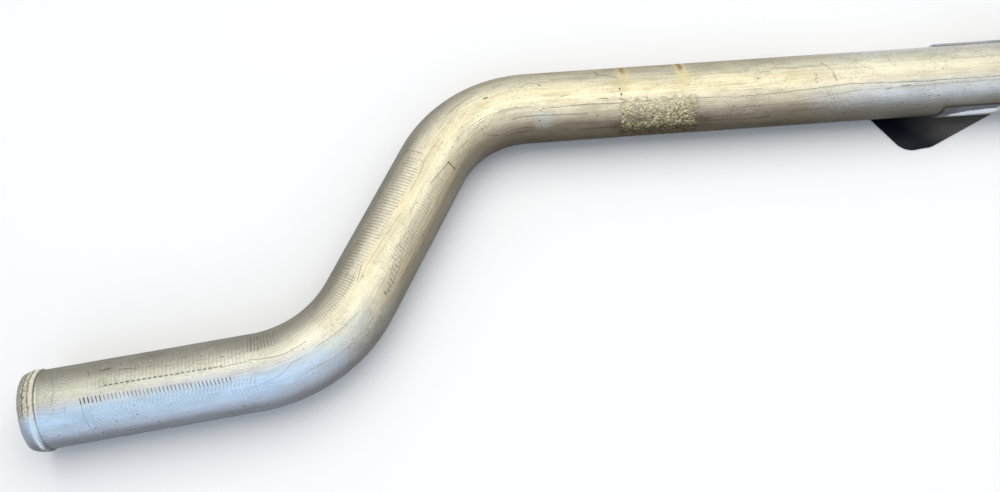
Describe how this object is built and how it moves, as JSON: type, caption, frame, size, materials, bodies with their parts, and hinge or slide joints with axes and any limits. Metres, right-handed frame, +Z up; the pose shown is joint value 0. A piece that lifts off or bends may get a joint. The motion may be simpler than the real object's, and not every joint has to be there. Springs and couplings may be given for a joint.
{
  "type": "bent metal coolant pipe",
  "caption": "Bent aluminium tube with a beaded hose end at each mouth and a pressed steel bracket clipped round its long straight.",
  "frame": {"origin": "on the floor under the middle of the bounding box", "axes": "+X along the long straight towards its mouth, +Y towards the bracket's upright tab, +Z up; the pipe lies on its side with all its bends level"},
  "size_m": [0.553, 0.1858, 0.0385],
  "materials": {
    "drawn_aluminium": "drawn mill finish, dulled, scratched and stained, with a corroded band and corroded beads",
    "black_painted_steel": "worn black paint over pressed sheet steel, bare along the rim against the tube"
  },
  "bodies": {
    "root": {"pipe": "drawn_aluminium", "mounting_bracket": "black_painted_steel"}
  },
  "joints": []
}
